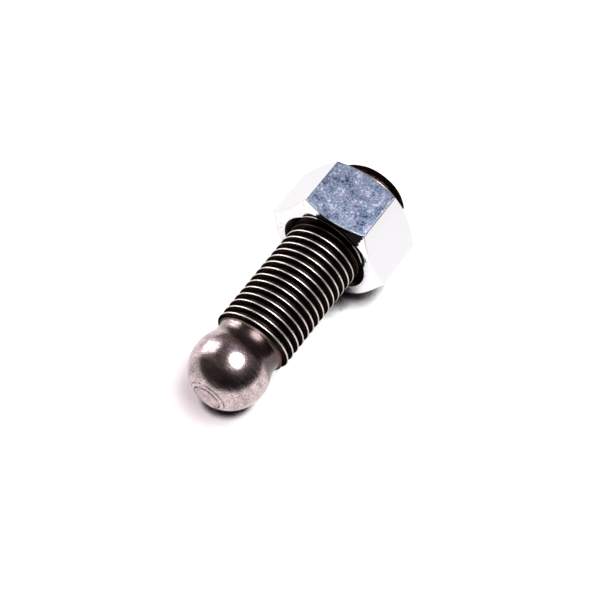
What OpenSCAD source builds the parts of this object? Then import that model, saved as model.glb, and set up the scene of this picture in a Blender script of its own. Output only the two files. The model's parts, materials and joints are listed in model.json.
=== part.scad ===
// Rocker arm adjusting screw: a ball-ended screw with its hexagon lock nut on the thread.
// The pair lies as it comes to rest on a flat surface, on the ball and on one flat of the nut.
// Both pieces are drawn upright first, with the ball's centre at the origin and the thread
// running up +Z, and are then laid down so that the thread points along +X.

/* [Thread] */
// Outside diameter of the thread
thread_d = 9.525; // [9.5:0.005:9.55]
// Threads in one inch of length
thread_tpi = 24; // [24:1:28]
// Width of the flat crest, as a share of the pitch
crest_share = 0.15; // [0.14:0.005:0.17]
// Width of the flat root, as a share of the pitch
root_share = 0.25; // [0.23:0.005:0.26]
// Flat steps in one turn of the groove
turn_steps = 24; // [16:2:32]

/* [Ball end] */
// Diameter of the ball
ball_d = 9.6; // [9.5:0.05:9.8]
// Diameter of the flat turned on the tip of the ball
tip_flat_d = 3.5; // [2:0.1:5]
// Diameter of the ground neck at its narrowest place
neck_d = 8.2; // [8:0.05:8.25]
// Radius of the hollow that blends the ball into the neck
neck_fillet_r = 3; // [2.8:0.1:3.6]
// Length of the hollow past its narrowest place, up to the thread
hollow_l = 0.67; // [0.6:0.01:0.7]

/* [Screw] */
// Overall length of the screw, from the tip flat to the slotted end
screw_l = 34.925; // [32:0.025:45]
// Width of the chamfer on the far end of the thread
end_chamfer = 0.5; // [0.3:0.05:0.55]
// Width of the driver slot
slot_w = 1.6; // [1:0.1:2.4]
// Depth of the driver slot
slot_depth = 2.2; // [1:0.1:3]

/* [Lock nut] */
// Width across the flats
nut_af = 14.2875; // [14:0.0005:15]
// Height of the nut
nut_h = 8.334; // [6:0.002:9]
// Diameter of the round face that the end chamfer leaves
nut_face_d = 13.62; // [13:0.01:13.9]
// Mouth diameter of the countersink in each face
countersink_d = 11.5; // [10:0.1:12]
// Gap round the screw in the bore
bore_gap = 0.04; // [0.02:0.01:0.1]
// Height of the nut's near face above the ball's centre
nut_z = 19.35; // [8:0.05:20]

/* [Hidden] */
inch = 25.4;
pitch = inch / thread_tpi;
flank_angle = 30;
start_angle = 60;
chamfer_angle = 30;
thread_r = thread_d / 2;
ball_r = ball_d / 2;
neck_r = neck_d / 2;

// Tip flat, a chord plane of the ball, and the slotted end
tip_r = tip_flat_d / 2;
tip_z = -sqrt(ball_r * ball_r - tip_r * tip_r);
end_z = screw_l + tip_z;
end_face_r = thread_r - end_chamfer;

// Hollow between the ball and the thread: its centre, and the place where it ends
hollow_r = neck_r + neck_fillet_r;
hollow_z = sqrt(pow(ball_r + neck_fillet_r, 2) - hollow_r * hollow_r);
start_r = hollow_r - sqrt(neck_fillet_r * neck_fillet_r - hollow_l * hollow_l);
start_z = hollow_z + hollow_l;
start_rise = (thread_r - start_r) / tan(start_angle);

// Groove between the thread's crests: a trapezium that runs a little past the crests
root_w = root_share * pitch;
groove_depth = (pitch * (1 - crest_share) - root_w) / 2 / tan(flank_angle);
root_r = (thread_r - groove_depth) / cos(180 / turn_steps);
groove_over = 0.1;
groove_r = thread_r + groove_over;
groove_w = pitch * (1 - crest_share) + 2 * groove_over * tan(flank_angle);

// The groove's middle is at groove_z at angle 0. It runs in clear of the hollow's surface and out
// past the slotted end.
groove_z = 1.421;
run_in = 0.4;
groove_z_0 = start_z - run_in;
groove_turn_0 = (groove_z_0 - groove_z) / pitch;
groove_turns = (end_z - groove_z_0) / pitch + 1;

// Lock nut: corner radius, bore and countersink
nut_corner_r = nut_af / 2 / cos(30);
bore_r = thread_r + bore_gap;
countersink_depth = countersink_d / 2 - bore_r;

// Rest: the ball and the near edge of the nut's lower flat touch the surface
edge_z = nut_z + (nut_af - nut_face_d) / 2 * tan(chamfer_angle);
tilt = acos(ball_r / norm([edge_z, nut_af / 2])) - atan2(edge_z, nut_af / 2);

// Middle of the tilted screw's reach along X, above which the origin lies
reach_low = tip_z * cos(tilt) - tip_r * sin(tilt);
reach_high = end_z * cos(tilt) + end_face_r * sin(tilt);
middle_x = (reach_low + reach_high) / 2;

// Margin by which a cutter runs past what it cuts
over = 1;
$fa = 6;
$fs = 0.3;

// Lays an upright piece down on the ball and the nut's lower flat
module lay_down() {
    translate([-middle_x, 0, ball_r])
        rotate([0, 90 - tilt, 0])
            children();
}

// Half outline of the ball, with its tip flat
module ball_outline() {
    intersection() {
        circle(r = ball_r);
        translate([0, tip_z])
            square([ball_r + over, 2 * ball_r]);
    }
}

// Half outline of the neck: a wedge that reaches past the hollow's centre, less the hollow
module neck_outline() {
    difference() {
        polygon([[0, 0], [hollow_r, hollow_z], [hollow_r, start_z], [0, start_z]]);
        translate([hollow_r, hollow_z])
            circle(r = neck_fillet_r);
    }
}

// Half outline of the blank for the thread, with a chamfer at each end
module stem_outline() {
    polygon([
        [0, 0],
        [start_r, start_z],
        [thread_r, start_z + start_rise],
        [thread_r, end_z - end_chamfer],
        [end_face_r, end_z],
        [0, end_z]
    ]);
}

// The screw as it leaves the lathe, before its thread and slot are cut
module turned_blank() {
    rotate_extrude() {
        ball_outline();
        neck_outline();
        stem_outline();
    }
}

// Corners of the groove's section at one step of its right-hand helix
function groove_section(step) =
    let (turn = groove_turn_0 + step / turn_steps, z = groove_z_0 + pitch * step / turn_steps)
    [
        for (c = [[root_r, -root_w], [root_r, root_w], [groove_r, groove_w], [groove_r, -groove_w]])
            [c[0] * cos(360 * turn), c[0] * sin(360 * turn), z + c[1] / 2]
    ];

// Helical groove, swept from its section and closed at both ends
module thread_groove() {
    steps = ceil(groove_turns * turn_steps);
    points = [for (i = [0:steps]) each groove_section(i)];
    sides = [
        for (i = [0:steps - 1], k = [0:3])
            let (a = 4 * i + k, b = 4 * i + (k + 1) % 4)
            each [[a, b + 4, b], [a, a + 4, b + 4]]
    ];
    last = 4 * steps;
    ends = [[0, 2, 3], [0, 1, 2], [last, last + 2, last + 1], [last, last + 3, last + 2]];
    polyhedron(points = points, faces = concat(sides, ends), convexity = 10);
}

// Straight slot across the far end, for a screwdriver
module driver_slot() {
    translate([-slot_w / 2, -thread_d, end_z - slot_depth])
        cube([slot_w, 2 * thread_d, slot_depth + over]);
}

module adjusting_screw() {
    color([0.16, 0.14, 0.13])
        lay_down()
            difference() {
                turned_blank();
                thread_groove();
                driver_slot();
            }
}

// Turned envelope that chamfers both ends of the hexagon
module nut_envelope() {
    far_r = nut_corner_r + over;
    rise = (far_r - nut_face_d / 2) * tan(chamfer_angle);
    rotate_extrude()
        polygon([
            [0, 0],
            [nut_face_d / 2, 0],
            [far_r, rise],
            [far_r, nut_h - rise],
            [nut_face_d / 2, nut_h],
            [0, nut_h]
        ]);
}

// Bore with a countersink at each face
module nut_bore() {
    rotate_extrude()
        polygon([
            [0, -over],
            [countersink_d / 2 + over, -over],
            [bore_r, countersink_depth],
            [bore_r, nut_h - countersink_depth],
            [countersink_d / 2 + over, nut_h + over],
            [0, nut_h + over]
        ]);
}

module lock_nut() {
    color([0.62, 0.66, 0.78])
        lay_down()
            translate([0, 0, nut_z])
                difference() {
                    intersection() {
                        rotate([0, 0, 30])
                            cylinder(r = nut_corner_r, h = nut_h, $fn = 6);
                        nut_envelope();
                    }
                    nut_bore();
                }
}

adjusting_screw();
lock_nut();
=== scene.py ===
"""Rocker arm adjusting screw with its lock nut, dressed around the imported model.

The pair is drawn upright in millimetres first, with the ball's centre at the origin and the thread
running up +Z, and RestPlace then lays it where the frame has it. Local -X is the side that faces up
at rest.
"""

import json
import logging
import math
from dataclasses import dataclass
from enum import Enum

import bmesh
import bpy
from bpy.types import ID, Material, Mesh, Node, NodeSocket, NodeTree, Object
from mathutils import Matrix, Vector

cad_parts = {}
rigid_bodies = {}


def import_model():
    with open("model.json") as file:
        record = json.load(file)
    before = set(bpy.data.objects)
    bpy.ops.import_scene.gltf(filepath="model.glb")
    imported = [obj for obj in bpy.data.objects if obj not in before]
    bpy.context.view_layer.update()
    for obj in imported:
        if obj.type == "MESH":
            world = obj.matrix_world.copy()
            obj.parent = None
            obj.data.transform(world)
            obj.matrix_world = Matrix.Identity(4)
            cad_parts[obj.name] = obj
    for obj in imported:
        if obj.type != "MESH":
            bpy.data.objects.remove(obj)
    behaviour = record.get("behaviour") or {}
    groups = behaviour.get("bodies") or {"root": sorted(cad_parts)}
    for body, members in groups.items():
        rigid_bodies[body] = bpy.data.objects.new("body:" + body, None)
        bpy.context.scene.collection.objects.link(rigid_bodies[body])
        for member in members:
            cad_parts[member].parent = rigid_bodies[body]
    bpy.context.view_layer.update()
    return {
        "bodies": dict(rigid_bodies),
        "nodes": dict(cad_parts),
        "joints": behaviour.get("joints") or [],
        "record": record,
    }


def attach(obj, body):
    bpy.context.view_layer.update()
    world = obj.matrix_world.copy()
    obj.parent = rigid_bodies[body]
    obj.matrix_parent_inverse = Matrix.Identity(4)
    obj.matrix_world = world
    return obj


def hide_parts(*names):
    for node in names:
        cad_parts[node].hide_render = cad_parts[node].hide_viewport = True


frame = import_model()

MM = 0.001
INCH = 25.4
PITCH = INCH / 24
THREAD_R = 9.525 / 2
FLANK_TAN = math.tan(math.radians(30))
CHAMFER_TAN = math.tan(math.radians(30))
MERGE_MM = 0.002
WHITE = "#ffffff"
SHADE_SAMPLES = 16

log = logging.getLogger("adjusting_screw")

Point = tuple[float, float]
Point3 = tuple[float, float, float]
Source = Node | NodeSocket | float | int | bool | tuple | str | None


class ThreadSide(Enum):
    """Which way a thread's solid lies from its surface."""

    EXTERNAL = 1
    INTERNAL = -1


class Region(Enum):
    """Material slots of the screw's mesh, in their order."""

    GROUND = 0
    THREAD = 1


class NutFace(Enum):
    """Material slots of the nut's mesh, in their order."""

    ROLLED = 0
    TURNED = 1
    SUNK = 2


def linear(hex_colour: str) -> tuple[float, float, float, float]:
    """Turn an sRGB hex colour to linear values.

    Args:
        hex_colour: Six hex digits after a hash.

    Returns:
        Red, green, blue and an alpha of 1, in linear light.
    """
    values = [int(hex_colour[i : i + 2], 16) / 255 for i in (1, 3, 5)]
    turned = [v / 12.92 if v <= 0.04045 else ((v + 0.055) / 1.055) ** 2.4 for v in values]
    return (turned[0], turned[1], turned[2], 1.0)


def per_mm(size_mm: float) -> float:
    """Give the texture scale whose features are about size_mm apart."""
    return 1 / (size_mm * MM)


def fade(
    value: Source, span: Point, result: Point = (0.0, 1.0), unit: float = 1.0
) -> dict[str, Source]:
    """Name the inputs that turn one range of values into another.

    Args:
        value: What is turned.
        span: Two values, of which the first becomes the result's first.
        result: What the two become.
        unit: What the span is multiplied by, which is MM where it is in millimetres.

    Returns:
        The inputs of a Map Range node.
    """
    low, high = span
    to_low, to_high = result
    ends = {"From Min": low * unit, "From Max": high * unit, "To Min": to_low, "To Max": to_high}
    return {"Value": value, **ends}


def feed(tree: NodeTree, node: Node, inputs: dict[int | str, Source]) -> None:
    """Set the inputs of a node, as links or values.

    Args:
        tree: The node tree.
        node: The node.
        inputs: What feeds each input, by its index or name. A node stands for its first output.
    """
    for key, value in inputs.items():
        if isinstance(value, Node):
            value = value.outputs[0]
        if isinstance(value, NodeSocket):
            tree.links.new(value, node.inputs[key])
        else:
            node.inputs[key].default_value = value


def add(
    tree: NodeTree, kind: str, inputs: dict[int | str, Source] | None = None, **settings: Source
) -> Node:
    """Add a node with its settings and its inputs.

    Args:
        tree: The node tree that takes the node.
        kind: The node's Blender type.
        inputs: What feeds each input.
        settings: Attributes of the node itself.

    Returns:
        The new node.
    """
    node = tree.nodes.new(kind)
    for name, value in settings.items():
        setattr(node, name, value)
    feed(tree, node, inputs or {})
    return node


def layered(tree: NodeTree, base: str, layers: list[tuple[Source, Source]]) -> NodeSocket:
    """Lay colours over one another, like coats of paint that cover only in part.

    Args:
        tree: The node tree.
        base: The lowest colour, as sRGB hex.
        layers: The share of each coat, from 0 to 1, and its colour as sRGB hex or as a socket.

    Returns:
        The colour on top.
    """
    tint = linear(base)
    for share, coat in layers:
        over = linear(coat) if isinstance(coat, str) else coat
        mixed = add(tree, "ShaderNodeMix", {"Factor": share, 6: tint, 7: over}, data_type="RGBA")
        tint = mixed.outputs[2]
    return tint


def shown(name: str, data: ID) -> Object:
    """Make an object and put it in the scene.

    Args:
        name: Its name.
        data: Its mesh, light or camera.

    Returns:
        The object.
    """
    made = bpy.data.objects.new(name, data)
    bpy.context.scene.collection.objects.link(made)
    return made


def taken(bm: bmesh.types.BMesh, name: str, finishes: list[Material]) -> Mesh:
    """Turn a mesh that was edited into one that an object can hold.

    Args:
        bm: The edited mesh, which this frees.
        name: Name of the new mesh.
        finishes: Its materials, in slot order.

    Returns:
        The new mesh.
    """
    mesh = bpy.data.meshes.new(name)
    bm.to_mesh(mesh)
    bm.free()
    for finish in finishes:
        mesh.materials.append(finish)
    return mesh


@dataclass(frozen=True)
class Band:
    """A stretch between two values, with edges that fade over twice edge. Millimetres."""

    low: float
    high: float
    edge: float

    def share(
        self,
        tree: NodeTree,
        value: NodeSocket,
        inside: float = 1.0,
        outside: float = 0.0,
    ) -> Node:
        """Add nodes that tell whether a value is in the band.

        Args:
            tree: The node tree.
            value: What is measured, in metres.
            inside: The result in the band.
            outside: The result past its edges.

        Returns:
            A node with the result.
        """
        half = (self.high - self.low) / 2
        off = add(tree, "ShaderNodeMath", {0: value, 1: (self.low + half) * MM}, operation="SUBTRACT")
        far = add(tree, "ShaderNodeMath", {0: off}, operation="ABSOLUTE")
        given = fade(far, (half - self.edge, half + self.edge), (inside, outside), MM)
        return add(tree, "ShaderNodeMapRange", given)


@dataclass(frozen=True)
class RestPlace:
    """Where the frame has the pair at rest, from its joint's axis and its ball mount."""

    axis: Vector
    ball: Vector

    @classmethod
    def from_frame(cls, packed: dict) -> "RestPlace":
        """Read the place from the loaded frame.


        Returns:
            The screw's axis and the ball's centre, in metres.
        """
        mounts = {m["name"]: m for m in packed["record"]["mounts"]}
        return cls(Vector(packed["joints"][0]["axis"]).normalized(), Vector(mounts["ball_end"]["pos_m"]))

    def matrix(self) -> Matrix:
        """Find where a piece that was drawn upright has to go.

        Returns:
            The matrix from local millimetres to the frame's metres.
        """
        across = Vector((0, 1, 0))
        down = across.cross(self.axis)
        turn = Matrix((down, across, self.axis)).transposed().to_4x4()
        return Matrix.Translation(self.ball) @ turn @ Matrix.Scale(MM, 4)

    def local_coordinates(self, tree: NodeTree) -> Node:
        """Add nodes that give a material its place along the screw's own axis.

        Args:
            tree: The material's node tree.

        Returns:
            A Mapping node: Object coordinates turned so that the axis is Z and the ball's centre is 0.
        """
        back = self.matrix().to_3x3().inverted() * MM
        origin = -(back @ self.ball)
        coordinates = add(tree, "ShaderNodeTexCoord")
        return add(
            tree,
            "ShaderNodeMapping",
            {"Vector": coordinates.outputs["Object"], "Rotation": back.to_euler(), "Location": origin},
        )


@dataclass(frozen=True)
class MetalNodes:
    """A new metal material with what its patterns start from, in metres."""

    material: Material
    tree: NodeTree
    shader: Node
    local: Node
    side: NodeSocket
    height: NodeSocket
    radius: NodeSocket

    @classmethod
    def start(cls, name: str, place: RestPlace) -> "MetalNodes":
        """Make a metal whose patterns follow the screw's own axis.

        Args:
            name: The material's name.
            place: Where the frame has the pair.

        Returns:
            The material, with its tree, its shader, its local coordinates and three values that come
            from them: the place towards the window, the place along the axis and the distance from it.
        """
        material = bpy.data.materials.new(name)
        material.use_nodes = True
        tree = material.node_tree
        shader = tree.nodes["Principled BSDF"]
        feed(tree, shader, {"Metallic": 1.0})
        local = place.local_coordinates(tree)
        parts = add(tree, "ShaderNodeSeparateXYZ", {0: local}).outputs
        flat = add(tree, "ShaderNodeVectorMath", {0: local, 1: (1.0, 1.0, 0.0)}, operation="MULTIPLY")
        length = add(tree, "ShaderNodeVectorMath", {0: flat}, operation="LENGTH").outputs["Value"]
        return cls(material, tree, shader, local, parts["Y"], parts["Z"], length)

    def grain(self, size_mm: float, detail: float, squeeze: float = 1.0) -> dict[str, Source]:
        """Name the inputs of a noise that is fixed to the screw.

        Args:
            size_mm: The size of its features along the axis.
            detail: How many finer layers it has.
            squeeze: The share of its scale that is left across the axis, which draws it out into rings.

        Returns:
            The inputs of a Noise Texture node.
        """
        at = self.local
        if squeeze < 1:
            at = add(self.tree, "ShaderNodeMapping", {"Vector": at, "Scale": (squeeze, squeeze, 1.0)})
        return {"Vector": at, "Scale": per_mm(size_mm), "Detail": detail}


@dataclass(frozen=True)
class TurningMark:
    """One dark ring that the tool left on the tip. Millimetres."""

    radius: float
    width: float
    darkness: float

    def band(self) -> Band:
        """Give the ring's radii, as a band that is all edge."""
        return Band(self.radius - self.width / 2, self.radius + self.width / 2, self.width / 2)


@dataclass(frozen=True)
class GroundSteel:
    """Hardened steel, turned and ground, which mirrors its surroundings through fine rings.

    Grinding leaves the ball bright and the neck duller. Hardening left a faint pink heat tint and
    brown specks, and the steel is browner towards the neck, with painted window light that keeps the
    window's side paler. The tool left dark rings on the tip. The pits are drawn a little coarser than
    real ones, so that they show.
    """

    place: RestPlace
    tip_marks: tuple[TurningMark, ...]
    tip_z: float
    colour: str = "#ebdcdc"
    pitted_colour: str = "#a98c90"
    stain_colour: str = "#3f302d"
    mark_colour: str = "#201614"
    ball_roughness: float = 0.23
    neck_roughness: float = 0.25
    neck_z: float = 3.0
    uneven: Point = (0.85, 1.2)
    ring_mm: float = 0.16
    ring_squeeze: float = 0.08
    ring_range: Point = (0.3, 0.7)
    ring_depth_mm: float = 0.005
    ring_strength: float = 0.8
    pit_mm: float = 0.15
    pit_range: Point = (0.36, 0.66)
    cloud_mm: float = 1.6
    cloud_squeeze: float = 0.3
    cloud_rough: float = 0.68
    stain_range: Point = (0.44, 0.76)
    stain_most: float = 0.9
    browned_z: Point = (0.6, 2.4)
    browned_by: float = 0.34
    window_light_y: Point = (-3.6, 3.6)
    painted_window_light: Point = (1.6, 0.2)
    mark_gain: float = 1.6
    mark_break_mm: float = 1.1
    mark_break: Point = (0.34, 0.5)

    def marks(self, metal: MetalNodes) -> Node:
        """Add the dark rings of the tip, broken here and there.

        Args:
            metal: The material.

        Returns:
            How dark the rings are, from 0 to 1.
        """
        tree = metal.tree
        rings = 0.0
        for mark in self.tip_marks:
            ring = mark.band().share(tree, metal.radius, inside=mark.darkness * self.mark_gain)
            rings = add(tree, "ShaderNodeMath", {0: rings, 1: ring}, operation="ADD")
        broken = add(tree, "ShaderNodeTexNoise", metal.grain(self.mark_break_mm, 2.0))
        seen = add(tree, "ShaderNodeMapRange", fade(broken, self.mark_break))
        given = {0: metal.height, 1: self.tip_z * MM}
        below = add(tree, "ShaderNodeMath", given, operation="LESS_THAN")
        held = add(tree, "ShaderNodeMath", {0: rings, 1: below}, operation="MULTIPLY")
        return add(tree, "ShaderNodeMath", {0: held, 1: seen}, operation="MULTIPLY", use_clamp=True)

    def stain_and_window_light(self, metal: MetalNodes) -> Node:
        """Add the brown specks, more brown towards the neck and less on the window's side as painted
        window light.

        Args:
            metal: The material.

        Returns:
            How stained the steel is, from 0 to 1.
        """
        tree = metal.tree
        given = metal.grain(self.cloud_mm, 10.0, self.cloud_squeeze) | {"Roughness": self.cloud_rough}
        cloud = add(tree, "ShaderNodeTexNoise", given)
        given = fade(metal.height, self.browned_z, (0.0, self.browned_by), MM)
        brown_tint_and_sheen = add(tree, "ShaderNodeMapRange", given, interpolation_type="SMOOTHSTEP")
        # Painted light: the window's side is kept paler, as that side mirrors the window.
        given = fade(metal.side, self.window_light_y, self.painted_window_light, MM)
        painted_window_share = add(tree, "ShaderNodeMapRange", given)
        there = add(tree, "ShaderNodeMath", {0: brown_tint_and_sheen, 1: painted_window_share, 2: cloud}, operation="MULTIPLY_ADD")
        return add(tree, "ShaderNodeMapRange", fade(there, self.stain_range, (0.0, self.stain_most)))

    def material(self) -> Material:
        """Build the material.

        Returns:
            A metal whose bumps and roughness lie in rings round the axis.
        """
        metal = MetalNodes.start("ground_hardened_steel", self.place)
        tree, shader = metal.tree, metal.shader
        grain = add(tree, "ShaderNodeTexNoise", metal.grain(self.pit_mm, 3.0))
        pitted = add(tree, "ShaderNodeMapRange", fade(grain, self.pit_range))
        coats = [
            (pitted, self.pitted_colour),
            (self.stain_and_window_light(metal), self.stain_colour),
            (self.marks(metal), self.mark_colour),
        ]
        tint = layered(tree, self.colour, coats)
        rings = add(tree, "ShaderNodeTexNoise", metal.grain(self.ring_mm, 3.0, self.ring_squeeze))
        ball_to_neck = (self.ball_roughness, self.neck_roughness)
        given = fade(metal.height, (0.0, self.neck_z), ball_to_neck, MM)
        plain = add(tree, "ShaderNodeMapRange", given)
        uneven = add(tree, "ShaderNodeMapRange", fade(rings, self.ring_range, self.uneven))
        roughness = add(tree, "ShaderNodeMath", {0: plain, 1: uneven}, operation="MULTIPLY")
        given = {"Height": rings, "Distance": self.ring_depth_mm * MM, "Strength": self.ring_strength}
        bump = add(tree, "ShaderNodeBump", given)
        feed(tree, shader, {"Base Color": tint, "Roughness": roughness, "Normal": bump})
        return metal.material


@dataclass(frozen=True)
class BlackOxideThread:
    """Black oxide over cut steel: nearly black with brown specks in the grooves, bright on the crests.

    Handling rubbed the coating off the crests, except at the very end. Near and under the nut the
    crests are painted dark as the nut's shade. The start cone and the first roots were ground with the
    neck, so they have its brown tint, and a patchy band of that tint round the far end is a painted
    highlight. The specks are drawn coarser than the real grain, so that they show.
    """

    place: RestPlace
    crest_r: float
    root_r: float
    start_z: float
    nut_shade: Band
    brown_tint_and_sheen: Band
    rubbed_until: float
    oxide: str = "#1c1513"
    speck: str = "#44362f"
    bright: str = "#f4eeea"
    ground: str = "#7d6a66"
    edge_tint: str = "#5a504d"
    oxide_roughness: float = 0.42
    bright_roughness: float = 0.45
    worn_mm: float = 0.05
    patch_mm: float = 0.7
    patch_range: Point = (0.38, 0.56)
    speck_mm: float = 0.14
    speck_range: Point = (0.45, 0.7)
    rubbed_in_nut_shade: float = 0.1
    start_edge: Point = (0.0, 0.04)
    root_edge: Point = (0.3, 0.5)
    root_share: float = 0.6

    def rubbed_and_nut_shade(self, metal: MetalNodes, patches: Node) -> Node:
        """Add the wear of the crests, with the nut's painted shade over those near it.

        Args:
            metal: The material.
            patches: The noise that makes the wear uneven.

        Returns:
            How bare the steel is, from 0 to 1.
        """
        tree = metal.tree
        crest = (self.crest_r - self.worn_mm / 4) * MM
        given = {0: patches, 1: -self.worn_mm * MM, 2: crest}
        edge = add(tree, "ShaderNodeMath", given, operation="MULTIPLY_ADD")
        past = add(tree, "ShaderNodeMath", {0: metal.radius, 1: edge}, operation="SUBTRACT")
        given = fade(past, (0.0, self.worn_mm / 3), unit=MM)
        bare = add(tree, "ShaderNodeMapRange", given, interpolation_type="SMOOTHSTEP")
        # Painted shade: crests near and under the nut keep little of their bare shine.
        unshaded = self.nut_shade.share(tree, metal.height, inside=self.rubbed_in_nut_shade, outside=1.0)
        given = {0: metal.height, 1: self.rubbed_until * MM}
        near = add(tree, "ShaderNodeMath", given, operation="LESS_THAN")
        there = add(tree, "ShaderNodeMath", {0: unshaded, 1: near}, operation="MULTIPLY")
        return add(tree, "ShaderNodeMath", {0: bare, 1: there}, operation="MULTIPLY")

    def ground_share(self, metal: MetalNodes) -> Node:
        """Add the start cone and the first roots, which have the neck's finish.

        Args:
            metal: The material.

        Returns:
            How much of the neck's tint shows, from 0 to 1.
        """
        tree = metal.tree
        fades = []
        for (near, far), share in ((self.start_edge, 1.0), (self.root_edge, self.root_share)):
            given = fade(metal.height, (self.start_z + near, self.start_z + far), (share, 0.0), MM)
            fades.append(add(tree, "ShaderNodeMapRange", given))
        low = add(tree, "ShaderNodeMath", {0: metal.radius, 1: self.root_r * MM}, operation="LESS_THAN")
        roots = add(tree, "ShaderNodeMath", {0: low, 1: fades[1]}, operation="MULTIPLY")
        return add(tree, "ShaderNodeMath", {0: fades[0], 1: roots}, operation="MAXIMUM")

    def material(self) -> Material:
        """Build the material.

        Returns:
            A coating that gives way to bare steel within worn_mm of the crests.
        """
        metal = MetalNodes.start("black_oxide_cut_steel", self.place)
        tree, shader = metal.tree, metal.shader
        patches = add(tree, "ShaderNodeTexNoise", metal.grain(self.patch_mm, 4.0))
        rubbed_and_nut_shade = self.rubbed_and_nut_shade(metal, patches)
        specks = add(tree, "ShaderNodeTexNoise", metal.grain(self.speck_mm, 3.0))
        speckled = add(tree, "ShaderNodeMapRange", fade(specks, self.speck_range))
        spots = add(tree, "ShaderNodeMapRange", fade(patches, self.patch_range))
        # Painted highlight: a patchy brown band round the far end.
        far_end = self.brown_tint_and_sheen.share(tree, metal.height)
        brown_tint_and_sheen = add(tree, "ShaderNodeMath", {0: far_end, 1: spots}, operation="MULTIPLY")
        coats = [
            (speckled, self.speck),
            (brown_tint_and_sheen, self.ground),
            (rubbed_and_nut_shade, self.bright),
            (self.ground_share(metal), self.ground),
        ]
        tint = layered(tree, self.oxide, coats)
        given = fade(rubbed_and_nut_shade, (0.0, 1.0), (self.oxide_roughness, self.bright_roughness))
        dull = add(tree, "ShaderNodeMapRange", given)
        edge = linear(self.edge_tint)
        feed(tree, shader, {"Base Color": tint, "Roughness": dull, "Specular Tint": edge})
        return metal.material


@dataclass(frozen=True)
class RolledZinc:
    """Bright zinc plate over the bar's rolled flats, a soft mirror with a fine crystalline bump.

    The upper flat alone carries a painted reflection of a bluish sky, in a different shade of blue
    or lilac on each crystal. The crystals are drawn coarser than real ones, so that they show.
    """

    place: RestPlace
    flat_r: float
    pale: str = "#f3f3f5"
    painted_sky_ramp: tuple[tuple[float, str], ...] = (
        (0.0, "#3c4354"),
        (0.2, "#667190"),
        (0.33, "#7ea0b4"),
        (0.44, "#9a90bb"),
        (0.53, "#86aeba"),
        (0.62, "#b3a3be"),
        (0.76, "#b8c6e0"),
        (0.95, "#f0f4fc"),
    )
    roughness: float = 0.4
    crystal_mm: float = 0.2
    crystal_spread: float = 0.62
    bend: float = 1.5
    cloud_mm: float = 1.3
    cloud_gain: float = 1.5
    cloud_base: float = -0.58
    flat_margin: float = 0.02
    bump_mm: float = 0.012
    bump_strength: float = 0.5

    def painted_sky_colour(self, metal: MetalNodes) -> NodeSocket:
        """Add the painted sky reflection's colours, one for each crystal, with clouds of lighter and
        darker ones.

        Args:
            metal: The material.

        Returns:
            The painted reflection's colour.
        """
        tree = metal.tree
        middle = (0.5, 0.5, 0.5)
        warp = add(tree, "ShaderNodeTexNoise", metal.grain(self.crystal_mm * 2, 3.0)).outputs["Color"]
        shift = add(tree, "ShaderNodeVectorMath", {0: warp, 1: middle}, operation="SUBTRACT")
        reach = self.crystal_mm * self.bend * MM
        moved = add(tree, "ShaderNodeVectorMath", {0: shift, "Scale": reach}, operation="SCALE")
        bent = add(tree, "ShaderNodeVectorMath", {0: metal.local, 1: moved}, operation="ADD")
        crystals = add(tree, "ShaderNodeTexVoronoi", {"Vector": bent, "Scale": per_mm(self.crystal_mm)})
        clouds = add(tree, "ShaderNodeTexNoise", metal.grain(self.cloud_mm, 6.0))
        given = {0: clouds, 1: self.cloud_gain, 2: self.cloud_base}
        lighter = add(tree, "ShaderNodeMath", given, operation="MULTIPLY_ADD")
        each = add(tree, "ShaderNodeSeparateColor", {0: crystals.outputs["Color"]})
        given = {0: each, 1: self.crystal_spread, 2: lighter}
        spot = add(tree, "ShaderNodeMath", given, operation="MULTIPLY_ADD")
        ramp = add(tree, "ShaderNodeValToRGB", {"Fac": spot})
        while len(ramp.color_ramp.elements) < len(self.painted_sky_ramp):
            ramp.color_ramp.elements.new(0.5)
        for element, (at, colour) in zip(ramp.color_ramp.elements, self.painted_sky_ramp):
            element.position = at
            element.color = linear(colour)
        return ramp.outputs["Color"]

    def material(self) -> Material:
        """Build the material.

        Returns:
            A pale metal with the painted sky reflection on the upper flat alone.
        """
        metal = MetalNodes.start("zinc_plate_on_rolled_flats", self.place)
        tree, shader = metal.tree, metal.shader
        across = add(tree, "ShaderNodeSeparateXYZ", {0: metal.local})
        # Painted reflection: only the upper flat takes the bluish sky's colours.
        given = {0: across, 1: (self.flat_margin - self.flat_r) * MM}
        painted_sky_mask = add(tree, "ShaderNodeMath", given, operation="LESS_THAN")
        tint = layered(tree, self.pale, [(painted_sky_mask, self.painted_sky_colour(metal))])
        grain = add(tree, "ShaderNodeTexNoise", metal.grain(self.crystal_mm, 4.0))
        given = {"Height": grain, "Distance": self.bump_mm * MM, "Strength": self.bump_strength}
        bump = add(tree, "ShaderNodeBump", given)
        feed(tree, shader, {"Base Color": tint, "Roughness": self.roughness, "Normal": bump})
        return metal.material


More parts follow.
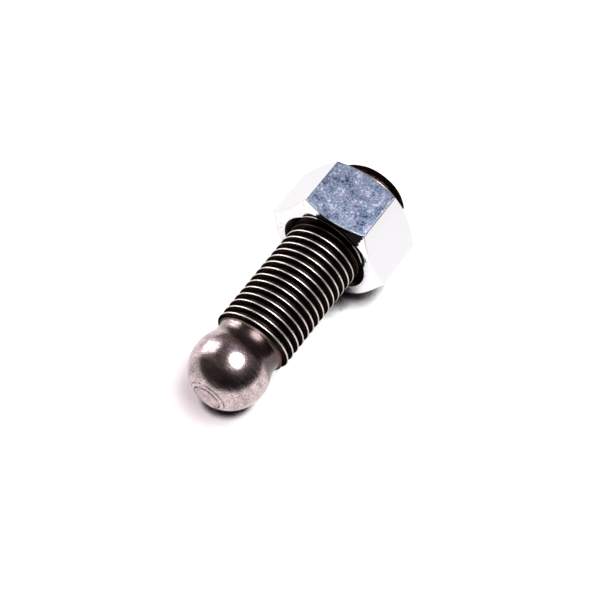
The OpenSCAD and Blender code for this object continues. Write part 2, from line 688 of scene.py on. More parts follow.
@dataclass(frozen=True)
class TurnedZinc:
    """Bright zinc plate over faces turned on a lathe: nearly a mirror, with a few duller specks.

    It shows the thread beside it. A painted dark reflection of the thread lies over the upper side of
    the near face, from the countersink up to the flat's edge.
    """

    place: RestPlace
    dark_reflection_centre: Point3
    dark_reflection_range: Point = (3.8, 4.0)
    dark_reflection_uneven: float = 1.6
    colour: str = "#f8f8fb"
    worn_colour: str = "#e6dfe1"
    dark_reflection_colour: str = "#191615"
    roughness: float = 0.07
    worn_roughness: float = 0.21
    worn_range: Point = (0.58, 0.72)
    cloud_mm: float = 0.5

    def material(self) -> Material:
        """Build the material.

        Returns:
            A pale mirror with specks and the painted dark reflection.
        """
        metal = MetalNodes.start("zinc_plate_on_turned_faces", self.place)
        tree, shader = metal.tree, metal.shader
        cloud = add(tree, "ShaderNodeTexNoise", metal.grain(self.cloud_mm, 8.0))
        worn = add(tree, "ShaderNodeMapRange", fade(cloud, self.worn_range))
        # Painted reflection: a dark patch round this centre stands for the black thread mirrored in the
        # face.
        centre = tuple(v * MM for v in self.dark_reflection_centre)
        off = add(tree, "ShaderNodeVectorMath", {0: metal.local, 1: centre}, operation="DISTANCE")
        given = {0: cloud, 1: self.dark_reflection_uneven * MM, 2: off.outputs["Value"]}
        edge = add(tree, "ShaderNodeMath", given, operation="MULTIPLY_ADD")
        painted_dark_reflection = add(tree, "ShaderNodeMapRange", fade(edge, self.dark_reflection_range, (1.0, 0.0), MM))
        tint = layered(tree, self.colour, [(worn, self.worn_colour), (painted_dark_reflection, self.dark_reflection_colour)])
        given = fade(worn, (0.0, 1.0), (self.roughness, self.worn_roughness))
        dull = add(tree, "ShaderNodeMapRange", given)
        feed(tree, shader, {"Base Color": tint, "Roughness": dull})
        return metal.material


@dataclass(frozen=True)
class PaintedShadeSteel:
    """Cut steel in the nut's countersinks and its thread, painted dark as shade and as the black thread
    that it mirrors.

    It is fairly smooth, and faint turned rings show as pale lines.
    """

    place: RestPlace
    colour: str = "#1d1a19"
    pale_colour: str = "#6b6162"
    roughness: float = 0.26
    ring_mm: float = 0.25
    ring_squeeze: float = 0.15
    ring_range: Point = (0.5, 0.75)

    def material(self) -> Material:
        """Build the material.

        Returns:
            A dark metal with pale rings where the oil is thin.
        """
        metal = MetalNodes.start("cut_steel_painted_shade", self.place)
        rings = add(metal.tree, "ShaderNodeTexNoise", metal.grain(self.ring_mm, 3.0, self.ring_squeeze))
        shine = add(metal.tree, "ShaderNodeMapRange", fade(rings, self.ring_range))
        # Painted shade: the countersinks and the nut's thread are coloured dark.
        tint = layered(metal.tree, self.colour, [(shine, self.pale_colour)])
        feed(metal.tree, metal.shader, {"Base Color": tint, "Roughness": self.roughness})
        return metal.material


@dataclass(frozen=True)
class PaleTable:
    """The plain matt white surface that the pair lies on.

    It is shaded by how much of the sky the pair hides, counted round a leaned direction so that the
    shade falls away from the light: a dark, slightly purple one close by, and a wide pinkish halo
    beside the ball. Its glow is seen by the camera and in the metal, and lights nothing else. The
    metal sees it brighter on the side away from the window, and past edge_x, where the picture does
    not reach, sees the dim room instead. Places and reaches are in millimetres.
    """

    colour: str = "#a8a4a5"
    hidden_colour: str = "#3a2c33"
    room: str = "#1c1918"
    roughness: float = 0.9
    shade_x: Point = (-10.0, 2.0)
    shade_mm: Point = (2.1, 4.5)
    shade_from: Point3 = (0.4, 0.5, 0.77)
    shade_range: Point = (0.48, 0.61)
    halo_colour: str = "#f6e4ea"
    halo_x: Point = (-10.0, -5.0)
    halo_mm: float = 6.2
    halo_from: Point3 = (0.55, -0.35, 0.76)
    halo_range: Point = (0.45, 0.82)
    halo_glow: float = 0.62
    seen_glow: float = 0.9
    mirrored_y: Point = (-12.0, -40.0)
    mirrored_glow: Point = (0.72, 1.02)
    window_xy: Point = (5.0, 30.0)
    window_share: Point = (1.0, 0.78)
    edge_x: Point = (-62.0, -70.0)

    def sky(
        self,
        tree: NodeTree,
        reach: Source,
        lean: Point3,
        span: Point,
        result: Point = (0.0, 1.0),
    ) -> Node:
        """Add nodes that tell how much of the sky a spot sees past the pair.

        Args:
            tree: The material's node tree.
            reach: How far away the pair still counts, in metres.
            lean: The direction that the sky is counted round.
            span: The open shares between which the result changes.
            result: What it is at the first and at the second.

        Returns:
            A node with the result.
        """
        normal = add(tree, "ShaderNodeCombineXYZ", dict(zip("XYZ", lean)))
        given = {"Distance": reach, "Normal": normal}
        around = add(tree, "ShaderNodeAmbientOcclusion", given, samples=SHADE_SAMPLES)
        given = fade(around.outputs["AO"], span, result)
        return add(tree, "ShaderNodeMapRange", given, interpolation_type="SMOOTHSTEP")

    def glow(
        self,
        tree: NodeTree,
        spot: bpy.types.bpy_prop_collection,
        path: bpy.types.bpy_prop_collection,
        halo: Node,
    ) -> Node:
        """Add the strength of the glow.

        Args:
            tree: The material's node tree.
            spot: The place on the table, as the sockets X and Y.
            path: The sockets that tell the kinds of rays apart.
            halo: How much of the halo lies on the spot.

        Returns:
            The strength for the ray that looks, which is 0 for all but the camera and the metal.
        """
        given = fade(halo, (0.0, 1.0), (self.seen_glow, self.seen_glow * self.halo_glow))
        dimmed = add(tree, "ShaderNodeMapRange", given)
        seen = add(tree, "ShaderNodeMath", {0: path["Is Camera Ray"], 1: dimmed}, operation="MULTIPLY")
        given = fade(spot["Y"], self.mirrored_y, self.mirrored_glow, MM)
        mirrored = add(tree, "ShaderNodeMapRange", given)
        towards_window = add(tree, "ShaderNodeMath", {0: spot["X"], 1: spot["Y"]}, operation="ADD")
        given = fade(towards_window, self.window_xy, self.window_share, MM)
        share = add(tree, "ShaderNodeMapRange", given)
        shared = add(tree, "ShaderNodeMath", {0: mirrored, 1: share}, operation="MULTIPLY")
        given = {0: path["Is Glossy Ray"], 1: shared, 2: seen}
        return add(tree, "ShaderNodeMath", given, operation="MULTIPLY_ADD")

    def material(self) -> Material:
        """Build the material.

        Returns:
            A matt white with a glow that is seen by the camera and in the metal.
        """
        made = bpy.data.materials.new("matt_white_table")
        made.use_nodes = True
        tree = made.node_tree
        matt = tree.nodes["Principled BSDF"]
        coordinates = add(tree, "ShaderNodeTexCoord").outputs["Object"]
        spot = add(tree, "ShaderNodeSeparateXYZ", {0: coordinates}).outputs
        path = add(tree, "ShaderNodeLightPath").outputs
        near, far = self.shade_mm
        given = fade(spot["X"], self.shade_x, (near * MM, far * MM), MM)
        reach = add(tree, "ShaderNodeMapRange", given)
        lit = self.sky(tree, reach, self.shade_from, self.shade_range)
        tint = layered(tree, self.hidden_colour, [(lit, self.colour)])
        feed(tree, matt, {"Base Color": tint, "Roughness": self.roughness})
        wide = self.sky(tree, self.halo_mm * MM, self.halo_from, self.halo_range, (1.0, 0.0))
        beside_ball = add(tree, "ShaderNodeMapRange", fade(spot["X"], self.halo_x, (1.0, 0.0), MM))
        halo = add(tree, "ShaderNodeMath", {0: wide, 1: beside_ball}, operation="MULTIPLY")
        given = {0: self.glow(tree, spot, path, halo), 1: lit}
        strength = add(tree, "ShaderNodeMath", given, operation="MULTIPLY")
        warmth = layered(tree, WHITE, [(halo, self.halo_colour)])
        glow = add(tree, "ShaderNodeEmission", {"Color": warmth, "Strength": strength})
        both = add(tree, "ShaderNodeAddShader", {0: matt, 1: glow})
        given = fade(spot["X"], self.edge_x, unit=MM)
        past = add(tree, "ShaderNodeMapRange", given, interpolation_type="SMOOTHSTEP")
        mirrored = add(tree, "ShaderNodeMath", {0: past, 1: path["Is Glossy Ray"]}, operation="MULTIPLY")
        dim = add(tree, "ShaderNodeEmission", {"Color": linear(self.room), "Strength": 1.0})
        mix = add(tree, "ShaderNodeMixShader", {0: mirrored, 1: both, 2: dim})
        feed(tree, tree.nodes["Material Output"], {"Surface": mix})
        return made


# How a spot of the flat grid becomes a point of the thread. Each row has the result's name, the
# operation and its terms, which are numbers, inputs of the tree or results of the rows above it.
THREAD_STEPS: tuple[tuple[str | float, ...], ...] = (
    ("turn", "ADD", "grid x", 0.5),
    ("half rows", "MULTIPLY", "Rows In Pitches", 0.5),
    ("row", "ADD", "grid y", "half rows"),
    ("plain angle", "MULTIPLY", "turn", math.tau),
    ("sixfold", "MULTIPLY", "plain angle", 6.0),
    ("wave", "SINE", "sixfold"),
    ("pull", "DIVIDE", "Crowding", 6.0),
    ("angle", "MULTIPLY_ADD", "wave", "pull", "plain angle"),
    ("turned", "DIVIDE", "angle", math.tau),
    ("pitches", "ADD", "row", "turned"),
    ("free height", "MULTIPLY_ADD", "pitches", "Pitch", "First Row Height"),
    ("held height", "MAXIMUM", "free height", "Low Height"),
    ("z", "MINIMUM", "held height", "High Height"),
    ("above", "SUBTRACT", "z", "Groove Height"),
    ("above in pitches", "DIVIDE", "above", "Pitch"),
    ("unturned", "SUBTRACT", "above in pitches", "turned"),
    ("share", "WRAP", "unturned", 0.5, -0.5),
    ("off centre", "ABSOLUTE", "share"),
    ("across", "MULTIPLY", "off centre", "Pitch"),
    ("past root", "SUBTRACT", "across", "Root Half Width"),
    ("free rise", "DIVIDE", "past root", FLANK_TAN),
    ("rise", "MAXIMUM", "free rise", 0.0),
    ("held rise", "MINIMUM", "rise", "Depth"),
    ("sharp radius", "ADD", "held rise", "Root Radius"),
    ("from crest", "SUBTRACT", 0.5, "off centre"),
    ("free part", "DIVIDE", "from crest", "Crest Half Share"),
    ("crest part", "MINIMUM", "free part", 1.0),
    ("squared", "MULTIPLY", "crest part", "crest part"),
    ("drop", "MULTIPLY", "squared", "Crest Crown"),
    ("thread radius", "SUBTRACT", "sharp radius", "drop"),
    ("sided", "MULTIPLY", "thread radius", "Side"),
    ("from low", "SUBTRACT", "z", "Low Height"),
    ("low rise", "MULTIPLY", "from low", "Low Slope"),
    ("low cone", "MULTIPLY_ADD", "Low Radius", "Side", "low rise"),
    ("to high", "SUBTRACT", "High Height", "z"),
    ("high cone", "MULTIPLY_ADD", "High Radius", "Side", "to high"),
    ("cones", "MINIMUM", "low cone", "high cone"),
    ("nearest", "MINIMUM", "sided", "cones"),
    ("radius", "MULTIPLY", "nearest", "Side"),
    ("cosine", "COSINE", "angle"),
    ("sine", "SINE", "angle"),
    ("x", "MULTIPLY", "radius", "cosine"),
    ("y", "MULTIPLY", "radius", "sine"),
)


@dataclass
class HelicalThread:
    """A right-hand 60 degree thread surface, as an open tube between two heights.

    Sizes are in millimetres. The surface follows groove turns whose centre is at groove_z at angle 0,
    and an end cone at each end holds it inside the blank, or outside the countersink of an internal
    thread.
    """

    side: ThreadSide
    low_z: float
    high_z: float
    low_r: float
    high_r: float
    groove_z: float
    low_slope: float = 1.0
    clearance: float = 0.0
    crown: float = 0.0
    crest_r: float = THREAD_R
    crest_share: float = 0.15
    root_share: float = 0.25
    crowding: float = 0.0
    steps_around: int = 120
    steps_a_pitch: int = 20

    @property
    def depth(self) -> float:
        """Radial depth of the groove."""
        return PITCH * (1 - self.crest_share - self.root_share) / 2 / FLANK_TAN

    def angles(self) -> list[float]:
        """Give the columns' angles, crowded towards the hexagon's corners if asked."""
        turns = [i / self.steps_around for i in range(self.steps_around)]
        return [math.tau * t + self.crowding / 6 * math.sin(6 * math.tau * t) for t in turns]

    def tree(self, values: dict[str, float | int | Material]) -> NodeTree:
        """Build the geometry tree.

        Args:
            values: What its inputs will hold, whose types give the kinds of the inputs.

        Returns:
            A tree that bends a flat grid round the axis and pushes it to the thread's radius.
        """
        made = bpy.data.node_groups.new("helical_thread", "GeometryNodeTree")
        kinds = {float: "Float", int: "Int", Material: "Material"}
        for name, value in values.items():
            kind = f"NodeSocket{kinds[type(value)]}"
            made.interface.new_socket(name=name, in_out="INPUT", socket_type=kind)
        made.interface.new_socket(name="Thread", in_out="OUTPUT", socket_type="NodeSocketGeometry")
        given = add(made, "NodeGroupInput").outputs
        size = {"Size X": 1.0, "Size Y": given["Rows In Pitches"]}
        count = {"Vertices X": given["Columns"], "Vertices Y": given["Rows"]}
        grid = add(made, "GeometryNodeMeshGrid", size | count)
        spot = add(made, "ShaderNodeSeparateXYZ", {0: add(made, "GeometryNodeInputPosition")}).outputs
        known = {name: given[name] for name in values} | {"grid x": spot["X"], "grid y": spot["Y"]}
        for name, operation, *terms in THREAD_STEPS:
            inputs = {i: known[t] if isinstance(t, str) else t for i, t in enumerate(terms)}
            known[name] = add(made, "ShaderNodeMath", inputs, operation=operation)
        place = add(made, "ShaderNodeCombineXYZ", {axis: known[axis.lower()] for axis in "XYZ"})
        bent = add(made, "GeometryNodeSetPosition", {"Geometry": grid, "Position": place})
        closed = add(made, "GeometryNodeMergeByDistance", {"Geometry": bent, "Distance": MERGE_MM})
        real = add(made, "GeometryNodeRealizeInstances", {"Geometry": closed})
        dressed = add(made, "GeometryNodeSetMaterial", {"Geometry": real, "Material": given["Finish"]})
        add(made, "NodeGroupOutput", {0: dressed})
        return made

    def mesh(self, finish: Material) -> Mesh:
        """Run the tree and take its result as a plain mesh in local millimetres.

        Args:
            finish: The material that the tree sets.

        Returns:
            The open tube of the thread.
        """
        rows_low = math.floor((self.low_z - self.groove_z) / PITCH) - 1
        span = math.ceil((self.high_z - self.groove_z) / PITCH) - rows_low + 1
        half_step = 0.5 / self.steps_a_pitch
        values = {
            "Pitch": PITCH,
            "Low Height": self.low_z,
            "High Height": self.high_z,
            "Low Radius": self.low_r,
            "High Radius": self.high_r,
            "Groove Height": self.groove_z,
            "First Row Height": self.groove_z + PITCH * (rows_low + half_step),
            "Root Radius": self.crest_r - self.depth + self.clearance,
            "Depth": self.depth,
            "Root Half Width": self.root_share * PITCH / 2,
            "Crest Half Share": self.crest_share / 2,
            "Crest Crown": self.crown,
            "Side": float(self.side.value),
            "Low Slope": self.low_slope,
            "Crowding": self.crowding,
            "Rows In Pitches": float(span),
            "Columns": self.steps_around + 1,
            "Rows": span * self.steps_a_pitch + 1,
            "Finish": finish,
        }
        tree = self.tree(values)
        carrier = shown("thread_carrier", bpy.data.meshes.new("thread_carrier"))
        modifier = carrier.modifiers.new("thread", "NODES")
        modifier.node_group = tree
        for item in tree.interface.items_tree:
            if item.in_out == "INPUT":
                modifier[item.identifier] = values[item.name]
        evaluated = carrier.evaluated_get(bpy.context.evaluated_depsgraph_get())
        made = bpy.data.meshes.new_from_object(evaluated)
        bpy.data.objects.remove(carrier)
        return made


def arc(centre: Point, radius: float, start: float, end: float, step: float) -> list[Point]:
    """Walk along an arc in the half plane of radius and height.

    Args:
        centre: Radius and height of the arc's centre.
        radius: The arc's radius.
        start: First angle in degrees, from the outward direction towards +Z.
        end: Last angle in degrees.
        step: Largest angle between two points, in degrees.

    Returns:
        The points, both ends included.
    """
    count = max(1, math.ceil(abs(end - start) / step))
    turns = [math.radians(start + (end - start) * i / count) for i in range(count + 1)]
    return [(centre[0] + radius * math.cos(t), centre[1] + radius * math.sin(t)) for t in turns]


def rounded(points: list[Point], radii: list[float], steps: int = 4) -> list[Point]:
    """Round the inner corners of an open outline.

    Args:
        points: The outline's corners.
        radii: A radius for each corner between the ends, where 0 keeps it sharp.
        steps: Straight steps in each rounding.

    Returns:
        The outline with an arc in place of each rounded corner.
    """
    out = [points[0]]
    for before, corner, after, radius in zip(points, points[1:], points[2:], radii):
        if not radius:
            out.append(corner)
            continue
        here = Vector(corner)
        back, ahead = (Vector(before) - here).normalized(), (Vector(after) - here).normalized()
        half = back.angle(ahead) / 2
        centre = here + (back + ahead).normalized() * (radius / math.sin(half))
        first = here + back * (radius / math.tan(half)) - centre
        last = here + ahead * (radius / math.tan(half)) - centre
        turn = first.angle_signed(last)
        for i in range(steps + 1):
            out.append(tuple(centre + Matrix.Rotation(-turn * i / steps, 2) @ first))
    return [*out, points[-1]]


def lathe(bm: bmesh.types.BMesh, outlines: list[list[Point]], angles: list[float], slot: int) -> None:
    """Skin outlines of radius and height, one at each angle, with quads.

    Args:
        bm: The mesh that takes the faces.
        outlines: For each angle, points of equal count. A point on the axis closes the end.
        angles: The outlines' angles round the axis.
        slot: Material index of the faces.
    """
    columns = []
    for outline, turn in zip(outlines, angles):
        columns.append([bm.verts.new((r * math.cos(turn), r * math.sin(turn), z)) for r, z in outline])
    for here, there in zip(columns, columns[1:] + columns[:1]):
        for a, b, c, d in zip(here, there, there[1:], here[1:]):
            bm.faces.new((a, b, c, d)).material_index = slot


def finish_mesh(bm: bmesh.types.BMesh, name: str, finishes: list[Material]) -> Object:
    """Close a mesh's seams, turn its faces outwards and make it an object.

    Args:
        bm: The mesh, which this frees.
        name: Name of the object.
        finishes: Its materials, in slot order.

    Returns:
        The object, still in local millimetres.
    """
    bmesh.ops.remove_doubles(bm, verts=bm.verts, dist=MERGE_MM)
    bmesh.ops.dissolve_degenerate(bm, edges=bm.edges, dist=MERGE_MM / 4)
    open_edges = [e for e in bm.edges if e.is_boundary]
    if open_edges:
        bmesh.ops.holes_fill(bm, edges=open_edges)
    bmesh.ops.recalc_face_normals(bm, faces=bm.faces)
    return shown(name, taken(bm, name, finishes))


def cut_box(piece: Object, low: Vector, high: Vector) -> None:
    """Cut a box out of a piece.

    Args:
        piece: The piece, whose mesh is replaced.
        low: The box's lowest corner.
        high: The box's highest corner.
    """
    bm = bmesh.new()
    bmesh.ops.create_cube(bm, size=1.0)
    size = high - low
    matrix = Matrix.Translation((low + high) / 2) @ Matrix.Diagonal((*size, 1))
    bmesh.ops.transform(bm, matrix=matrix, verts=bm.verts)
    for face in bm.faces:
        face.material_index = Region.THREAD.value
    cutter = shown("slot_cutter", taken(bm, "slot_cutter", list(piece.data.materials)))
    modifier = piece.modifiers.new("slot", "BOOLEAN")
    modifier.operation = "DIFFERENCE"
    modifier.solver = "EXACT"
    modifier.object = cutter
    evaluated = piece.evaluated_get(bpy.context.evaluated_depsgraph_get())
    cut = bpy.data.meshes.new_from_object(evaluated)
    piece.modifiers.remove(modifier)
    piece.data = cut
    bpy.data.objects.remove(cutter)


def settle(piece: Object, place: RestPlace, sharp_deg: float) -> None:
    """Lay a finished piece in the frame, with smooth faces and sharp edges.

    Args:
        piece: The piece in local millimetres.
        place: Where the frame has it.
        sharp_deg: Faces that meet at more than this angle keep a sharp edge.
    """
    piece.data.transform(place.matrix())
    piece.data.shade_smooth()
    piece.data.set_sharp_from_angle(angle=math.radians(sharp_deg))


def edge_use(mesh: Mesh) -> list[int]:
    """Count the faces at each edge of a mesh.

    Args:
        mesh: The mesh.

    Returns:
        A count for each edge, which is 2 where the mesh is closed.
    """
    used = [0] * len(mesh.edges)
    for loop in mesh.loops:
        used[loop.edge_index] += 1
    return used


def report(piece: Object) -> None:
    """Log a piece's triangles, its size and its open edges.

    Args:
        piece: The finished piece.
    """
    piece.data.calc_loop_triangles()
    triangles = len(piece.data.loop_triangles)
    size = ", ".join(f"{v / MM:.2f}" for v in piece.dimensions)
    open_edges = sum(1 for e in edge_use(piece.data) if e != 2)
    log.info("%s: %d triangles, %s mm, %d open edges", piece.name, triangles, size, open_edges)


@dataclass
class AdjustingScrew:
    """The screw: ball, tip flat, hollow neck, thread, end chamfer and driver slot. Millimetres."""

    place: RestPlace
    ball_r: float = 4.8
    tip_flat_r: float = 1.75
    neck_r: float = 4.1
    hollow_r: float = 3.0
    hollow_l: float = 0.67
    start_deg: float = 60.0
    length: float = 34.925
    end_chamfer: float = 0.5
    slot_w: float = 1.6
    slot_depth: float = 2.2
    thread_r: float = THREAD_R
    crown: float = 0.025
    groove_z: float = 1.421
    ground_until: float = 4.06
    # Painted shade of the nut over the crests near it.
    nut_shade: Band = Band(18.87, 28.1, 0.3)
    # Painted highlight: the brown band round the far end.
    brown_tint_and_sheen: Band = Band(28.675, 29.625, 0.075)
    rubbed_until: float = 29.35
    mark_depth: float = 0.02
    tip_marks: tuple[TurningMark, ...] = (
        TurningMark(0.4, 0.1, 0.25),
        TurningMark(1.4, 0.12, 0.3),
        TurningMark(1.74, 0.17, 0.9),
        TurningMark(2.27, 0.12, 0.6),
    )
    flat_points: int = 44
    fine_deg: float = 12.0
    fine_step_deg: float = 0.5
    step_deg: float = 1.5
    cut_past: float = 1.0
    sharp_deg: float = 32.0

    @property
    def tip_z(self) -> float:
        """Height of the tip flat, a chord plane of the ball."""
        return -math.sqrt(self.ball_r**2 - self.tip_flat_r**2)

    @property
    def end_z(self) -> float:
        """Height of the slotted end."""
        return self.length + self.tip_z

    @property
    def hollow_centre(self) -> Point:
        """Centre of the hollow, which is tangent to the ball."""
        out = self.neck_r + self.hollow_r
        return out, math.sqrt((self.ball_r + self.hollow_r) ** 2 - out**2)

    @property
    def hollow_end(self) -> Point:
        """Radius and height where the hollow meets the thread's start cone."""
        out, up = self.hollow_centre
        return out - math.sqrt(self.hollow_r**2 - self.hollow_l**2), up + self.hollow_l

    def thread(self) -> HelicalThread:
        """Set up the thread.

        Returns:
            The thread from the neck to the slotted end.
        """
        start_r, start_z = self.hollow_end
        return HelicalThread(
            side=ThreadSide.EXTERNAL,
            low_z=start_z,
            high_z=self.end_z,
            low_r=start_r,
            high_r=self.thread_r - self.end_chamfer,
            groove_z=self.groove_z,
            low_slope=math.tan(math.radians(self.start_deg)),
            clearance=self.crown,
            crown=self.crown,
        )

    def marked(self, point: Point) -> Point:
        """Sink a point of the tip into the turned ring marks.

        Args:
            point: Radius and height of a point on the flat or on the ball near it.

        Returns:
            The point, moved towards the ball's centre where a mark is near.
        """
        r, z = point
        depths = [m.darkness * math.exp(-(((r - m.radius) / m.width) ** 2)) for m in self.tip_marks]
        sink = sum(self.mark_depth * depth for depth in depths)
        far = math.hypot(r, z)
        return r * (1 - sink / far), z * (1 - sink / far)

    def ball_outline(self) -> list[Point]:
        """Walk over the ground end of the screw.

        Returns:
            Points from the middle of the tip over the ball and the hollow to the thread.
        """
        flat = [(self.tip_flat_r * i / self.flat_points, self.tip_z) for i in range(self.flat_points)]
        edge_deg = math.degrees(math.atan2(self.tip_z, self.tip_flat_r))
        out, up = self.hollow_centre
        touch_deg = math.degrees(math.atan2(up, out))
        past_deg = math.degrees(math.asin(self.hollow_l / self.hollow_r))
        fine_until = edge_deg + self.fine_deg
        near_tip = arc((0, 0), self.ball_r, edge_deg, fine_until, self.fine_step_deg)
        ball = arc((0, 0), self.ball_r, fine_until, touch_deg, self.step_deg)[1:]
        hollow = arc((out, up), self.hollow_r, 180 + touch_deg, 180 - past_deg, self.step_deg)[1:]
        return [*map(self.marked, flat + near_tip), *ball, *hollow]

    def build(self) -> Object:
        """Build the whole screw as one closed mesh that replaces its CAD solid.

        Returns:
            The finished piece.
        """
        ground = GroundSteel(self.place, self.tip_marks, tip_z=-self.ball_r / 2).material()
        thread = self.thread()
        oxide = BlackOxideThread(
            self.place,
            crest_r=self.thread_r,
            root_r=self.thread_r - thread.depth + 2 * self.crown,
            start_z=self.ground_until,
            nut_shade=self.nut_shade,
            brown_tint_and_sheen=self.brown_tint_and_sheen,
            rubbed_until=self.rubbed_until,
        ).material()
        bm = bmesh.new()
        bm.from_mesh(thread.mesh(oxide))
        for face in bm.faces:
            face.material_index = Region.THREAD.value
        angles = thread.angles()
        lathe(bm, [self.ball_outline()] * len(angles), angles, Region.GROUND.value)
        piece = finish_mesh(bm, "adjusting_screw_body", [ground, oxide])
        slot_low = Vector((-self.slot_w / 2, -2 * self.thread_r, self.end_z - self.slot_depth))
        slot_high = Vector((self.slot_w / 2, 2 * self.thread_r, self.end_z + self.cut_past))
        cut_box(piece, slot_low, slot_high)
        settle(piece, self.place, self.sharp_deg)
        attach(piece, "screw")
        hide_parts("adjusting_screw")
        report(piece)
        return piece


@dataclass
class LockNut:
    """The lock nut: hexagon with turned chamfers, countersinks and its own thread. Millimetres."""

    place: RestPlace
    low_z: float
    groove_z: float
    flats: float = 14.2875
    height: float = 8.334
    face_r: float = 6.81
    countersink_r: float = 5.75
    corner_round: float = 0.3
    edge_round: float = 0.1
    flat_round: float = 0.2
    clearance: float = 0.06
    crowding: float = 0.8
    steps_around: int = 180
    # Sideways place of the painted dark reflection on the near face.
    dark_reflection_side: float = -1.1
    rolled_normal: float = 0.8
    sharp_deg: float = 7.0

    def thread(self) -> HelicalThread:
        """Set up the nut's own thread.

        Returns:
            The internal thread, between the two countersinks.
        """
        made = HelicalThread(
            side=ThreadSide.INTERNAL,
            low_z=self.low_z,
            high_z=self.low_z + self.height,
            low_r=self.countersink_r,
            high_r=self.countersink_r,
            groove_z=self.groove_z,
            clearance=self.clearance,
            crowding=self.crowding,
            steps_around=self.steps_around,
        )
        sink = self.countersink_r - made.crest_r - 2 * self.clearance
        made.low_z += sink
        made.high_z -= sink
        made.low_r -= sink
        made.high_r -= sink
        return made

    def hexagon_r(self, turn: float) -> float:
        """Radius of the hexagon with its rounded corners.

        Args:
            turn: Angle round the axis, where 0 is the middle of a flat.

        Returns:
            The distance from the axis to the flat or the corner's rounding.
        """
        flat_r = self.flats / 2
        off_flat = abs((turn + math.pi / 6) % (math.pi / 3) - math.pi / 6)
        round_centre = (flat_r - self.corner_round) / math.cos(math.pi / 6)
        round_starts = math.atan2((flat_r - self.corner_round) * math.tan(math.pi / 6), flat_r)
        if off_flat < round_starts:
            return flat_r / math.cos(off_flat)
        off_corner = math.pi / 6 - off_flat
        across = round_centre * math.sin(off_corner)
        return round_centre * math.cos(off_corner) + math.sqrt(self.corner_round**2 - across**2)

    def outline(self, turn: float, thread: HelicalThread) -> list[Point]:
        """Outline of one section, from the near end of the bore round the outside to the far end.

        Args:
            turn: Angle of the section.
            thread: The internal thread that it meets.

        Returns:
            Points of radius and height, of the same count at every angle.
        """
        corner_r = self.hexagon_r(turn)
        drop = (corner_r - self.face_r) * CHAMFER_TAN
        low, high = self.low_z, self.low_z + self.height
        mouth = self.edge_round / 2
        ring = self.edge_round / 3
        corners = [
            (thread.low_r, thread.low_z),
            (self.countersink_r, low),
            (self.face_r, low),
            (corner_r, low + drop),
            (corner_r, high - drop),
            (self.face_r, high),
            (self.countersink_r, high),
            (thread.high_r, thread.high_z),
        ]
        radii = [mouth, ring, self.flat_round, self.flat_round, ring, mouth]
        return rounded(corners, radii)

    def kind(self, face: bmesh.types.BMFace) -> NutFace:
        """Tell which finish a face of the nut has.

        Args:
            face: A face in local millimetres, with its normal worked out.

        Returns:
            Rolled flat, turned face or chamfer, or the sunk countersinks and thread.
        """
        far = face.calc_center_median().to_2d().length
        if far < self.countersink_r - self.edge_round / 4:
            return NutFace.SUNK
        upright = abs(face.normal.z) < self.rolled_normal
        return NutFace.ROLLED if far > self.face_r and upright else NutFace.TURNED

    def build(self) -> Object:
        """Build the whole nut as one closed mesh that replaces its CAD solid.

        Returns:
            The finished piece.
        """
        rolled = RolledZinc(self.place, flat_r=self.flats / 2).material()
        # Centre of the painted dark reflection on the near face.
        dark_reflection_centre = (-self.flats / 2, self.dark_reflection_side, self.low_z)
        turned = TurnedZinc(self.place, dark_reflection_centre).material()
        sunk = PaintedShadeSteel(self.place).material()
        thread = self.thread()
        angles = thread.angles()
        bm = bmesh.new()
        bm.from_mesh(thread.mesh(turned))
        lathe(bm, [self.outline(turn, thread) for turn in angles], angles, NutFace.TURNED.value)
        bm.normal_update()
        for face in bm.faces:
            face.material_index = self.kind(face).value
        piece = finish_mesh(bm, "lock_nut_body", [rolled, turned, sunk])
        settle(piece, self.place, self.sharp_deg)
        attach(piece, "nut")
        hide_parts("lock_nut")
        report(piece)
        return piece


@dataclass(frozen=True)
class SoftLamp:
    """One area lamp of the studio, aimed at the object. Metres."""

    name: str
    towards: Point3
    distance: float
    size: Point
    radiance: float
    colour: str = WHITE
    shape: str = "RECTANGLE"

    def build(self, target: Vector) -> Object:
        """Hang the lamp.

        Args:
            target: The point that it shines on.

        Returns:
            The lamp.
        """
        light = bpy.data.lights.new(self.name, "AREA")
        light.shape = self.shape
        light.size, light.size_y = self.size
        area = self.size[0] * self.size[1] * (math.pi / 4 if self.shape == "ELLIPSE" else 1)
        light.energy = self.radiance * math.pi * area
        light.color = linear(self.colour)[:3]
        made = shown(self.name, light)
        out = Vector(self.towards).normalized()
        made.location = target + out * self.distance
        made.rotation_euler = out.to_track_quat("Z", "Y").to_euler()
        return made


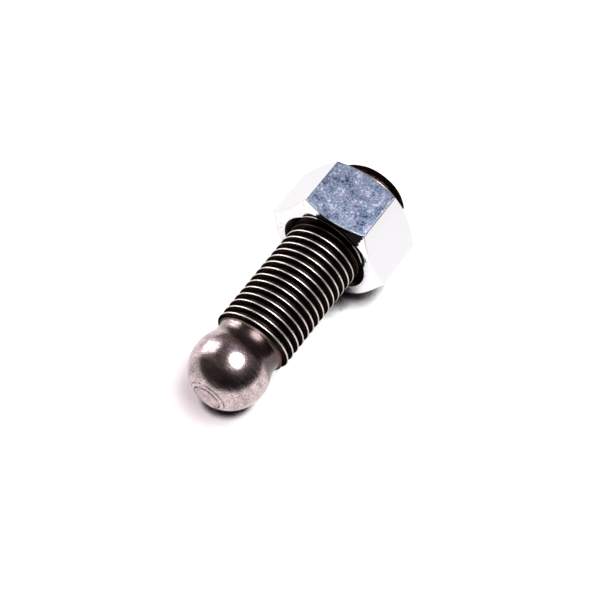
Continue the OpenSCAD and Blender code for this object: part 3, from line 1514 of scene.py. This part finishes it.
@dataclass(frozen=True)
class PhotoView:
    """The photograph's camera, worked out from how the screw's axis lies in the picture.

    frame_px is the picture's width and height. ball_px is where the ball's centre shows, and
    distance_mm is how far it is from the camera along the view. The axis points axis_tilt_deg away
    from the view, towards axis_heading_deg above the picture's right, and the nut's upper flat is
    turned spin_deg about it.
    """

    place: RestPlace
    frame_px: float = 600.0
    focal_px: float = 1376.4
    ball_px: Point = (229.62, 369.2)
    distance_mm: float = 157.475
    axis_tilt_deg: float = 64.485
    axis_heading_deg: float = 51.27
    spin_deg: float = -12.3
    sensor_mm: float = 36.0
    clip_start_m: float = 0.01

    def build(self) -> Object:
        """Set up the camera as the scene's own.

        Returns:
            The camera.
        """
        tilt, heading = math.radians(self.axis_tilt_deg), math.radians(self.axis_heading_deg)
        aside = math.sin(tilt)
        axis_seen = Vector((aside * math.cos(heading), -aside * math.sin(heading), math.cos(tilt)))
        to_camera = Vector((0, 0, -1))
        facing = (to_camera - axis_seen * to_camera.dot(axis_seen)).normalized()
        up_seen = Matrix.Rotation(math.radians(self.spin_deg), 3, axis_seen) @ facing
        seen = Matrix((axis_seen, up_seen, axis_seen.cross(up_seen))).transposed()
        axis = self.place.axis
        up = axis.cross(Vector((0, 1, 0)))
        real = Matrix((axis, up, axis.cross(up))).transposed()
        turn = real @ seen.transposed()
        slopes = [(px - self.frame_px / 2) / self.focal_px for px in self.ball_px]
        ball_seen = Vector((*slopes, 1)) * (self.distance_mm * MM)
        data = bpy.data.cameras.new("photo_camera")
        data.sensor_width = self.sensor_mm
        data.lens = self.focal_px * self.sensor_mm / self.frame_px
        data.clip_start = self.clip_start_m
        made = shown("photo_camera", data)
        faced = (turn @ Matrix.Diagonal((1, -1, -1))).to_4x4()
        made.matrix_world = Matrix.Translation(self.place.ball - turn @ ball_seen) @ faced
        bpy.context.scene.camera = made
        return made


@dataclass
class Studio:
    """Table, lamps, surroundings and camera."""

    place: RestPlace
    table_size: float = 1.6
    dark_side: str = "#1d1a19"
    pale_side: str = "#6a605d"
    pale_towards: Point3 = (0.6, 0.6, 0.0)
    pale_range: Point = (-0.7, 0.5)
    aim_mm: float = 12.0
    lamps: tuple[SoftLamp, ...] = (
        SoftLamp("overhead_dome", (0.0, -0.21, 1.0), 0.30, (0.20, 0.20), 8.5, shape="ELLIPSE"),
        SoftLamp("window_side", (0.13, 0.95, 0.34), 0.50, (0.24, 0.37), 3.4),
        SoftLamp("window_wall", (0.13, 0.95, 0.27), 0.52, (0.36, 0.42), 0.8),
        SoftLamp("sky_panel", (0.40, 0.20, 0.894), 0.50, (0.22, 0.22), 0.3, colour="#b4c4f0"),
    )

    def table(self) -> Object:
        """Lay the table under the pair.

        Returns:
            The table, which is not part of the object.
        """
        bm = bmesh.new()
        bmesh.ops.create_grid(bm, x_segments=1, y_segments=1, size=self.table_size / 2)
        made = shown("table", taken(bm, "table", [PaleTable().material()]))
        return made

    def surroundings(self) -> None:
        """Set a dim warm room that the camera itself sees as white."""
        world = bpy.data.worlds.new("room")
        world.use_nodes = True
        bpy.context.scene.world = world
        tree = world.node_tree
        room = tree.nodes["Background"]
        direction = add(tree, "ShaderNodeTexCoord").outputs["Generated"]
        given = {0: direction, 1: self.pale_towards}
        across = add(tree, "ShaderNodeVectorMath", given, operation="DOT_PRODUCT").outputs["Value"]
        side = add(tree, "ShaderNodeMapRange", fade(across, self.pale_range))
        walls = layered(tree, self.dark_side, [(side, self.pale_side)])
        feed(tree, room, {"Color": walls})
        white = add(tree, "ShaderNodeBackground", {"Color": linear(WHITE), "Strength": 1.0})
        path = add(tree, "ShaderNodeLightPath")
        mix = add(tree, "ShaderNodeMixShader", {0: path.outputs["Is Camera Ray"], 1: room, 2: white})
        feed(tree, tree.nodes["World Output"], {"Surface": mix})

    def build(self) -> None:
        """Build the studio."""
        self.table()
        self.surroundings()
        target = self.place.ball + self.place.axis * (self.aim_mm * MM)
        for lamp in self.lamps:
            lamp.build(target)
        PhotoView(self.place).build()
        bpy.context.scene.view_settings.view_transform = "Standard"


def main() -> None:
    """Build the pair and its studio."""
    logging.basicConfig(level=logging.INFO, format="%(name)s: %(message)s")
    place = RestPlace.from_frame(frame)
    screw = AdjustingScrew(place)
    screw.build()
    mounts = {m["name"]: m for m in frame["record"]["mounts"]}
    clamp = Vector(mounts["clamp_face"]["pos_m"]) - place.ball
    LockNut(place, low_z=clamp.dot(place.axis) / MM, groove_z=screw.groove_z).build()
    Studio(place).build()


if __name__ == "__main__":
    main()
